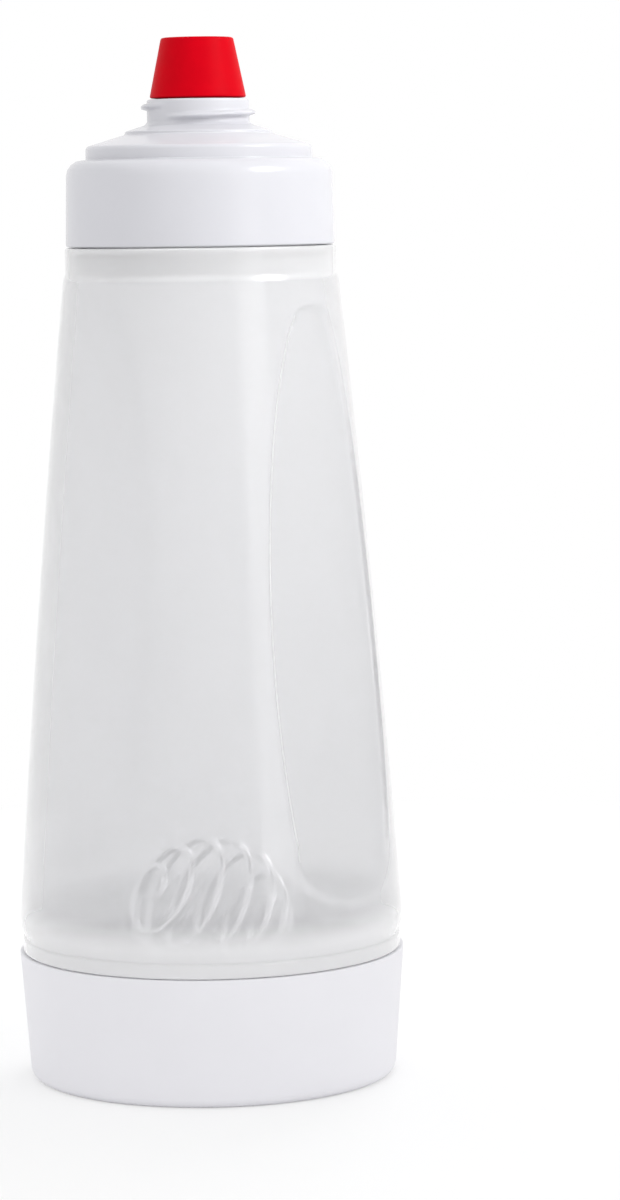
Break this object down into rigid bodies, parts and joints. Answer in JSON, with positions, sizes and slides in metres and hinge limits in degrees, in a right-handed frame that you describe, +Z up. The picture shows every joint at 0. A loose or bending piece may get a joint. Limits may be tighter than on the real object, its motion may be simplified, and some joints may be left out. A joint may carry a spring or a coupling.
{
  "type": "batter dispenser",
  "caption": "Tapered translucent squeeze bottle with screw-on base cup, stepped screw collar, red pouring nozzle and a loose wire whisk ball, for mixing and pouring batter.",
  "frame": {"origin": "centre of the foot, on the surface that the base cup stands on", "axes": "+Z up along the bottle's axis; the two grip scoops face +X and -X"},
  "size_m": [0.1044, 0.1044, 0.28],
  "materials": {
    "frosted_plastic": "frosted translucent squeeze-bottle plastic",
    "milky_plastic": "milky translucent plastic, satin",
    "white_plastic": "glossy white moulded plastic",
    "clear_silicone": "translucent silicone",
    "red_silicone": "red silicone, satin",
    "steel_wire": "polished stainless wire"
  },
  "bodies": {
    "bottle": {"bottle": "frosted_plastic"},
    "collar_seal": {"collar_gasket": "clear_silicone"},
    "collar": {"collar": "white_plastic"},
    "nozzle": {"nozzle": "red_silicone"},
    "base_seal": {"base_gasket": "clear_silicone"},
    "base_cup": {"base_cup": "milky_plastic"},
    "whisk_ball": {"whisk_ball": "steel_wire"}
  },
  "joints": [
    {"name": "collar_lift", "type": "slide", "parent": "bottle", "child": "collar_seal", "axis": [0, 0, 1], "range_m": [0, 0.01]},
    {"name": "collar_turn", "type": "hinge", "parent": "collar_seal", "child": "collar", "pos_m": [0, 0, 0.234], "axis": [0, 0, 1], "range_deg": [0, 720]},
    {"name": "nozzle_pull", "type": "slide", "parent": "collar", "child": "nozzle", "axis": [0, 0, 1], "range_m": [0, 0.012]},
    {"name": "base_drop", "type": "slide", "parent": "bottle", "child": "base_seal", "axis": [0, 0, -1], "range_m": [0, 0.01]},
    {"name": "base_turn", "type": "hinge", "parent": "base_seal", "child": "base_cup", "pos_m": [0, 0, 0.028], "axis": [0, 0, -1], "range_deg": [0, 720]},
    {"name": "ball_rise", "type": "slide", "parent": "bottle", "child": "whisk_ball", "axis": [0, 0, 1], "range_m": [0, 0.185]}
  ],
  "couplings": [
    {"joint": "collar_lift", "follows": "collar_turn", "m_per_rad": 0.00079577},
    {"joint": "base_drop", "follows": "base_turn", "m_per_rad": 0.00079577}
  ]
}
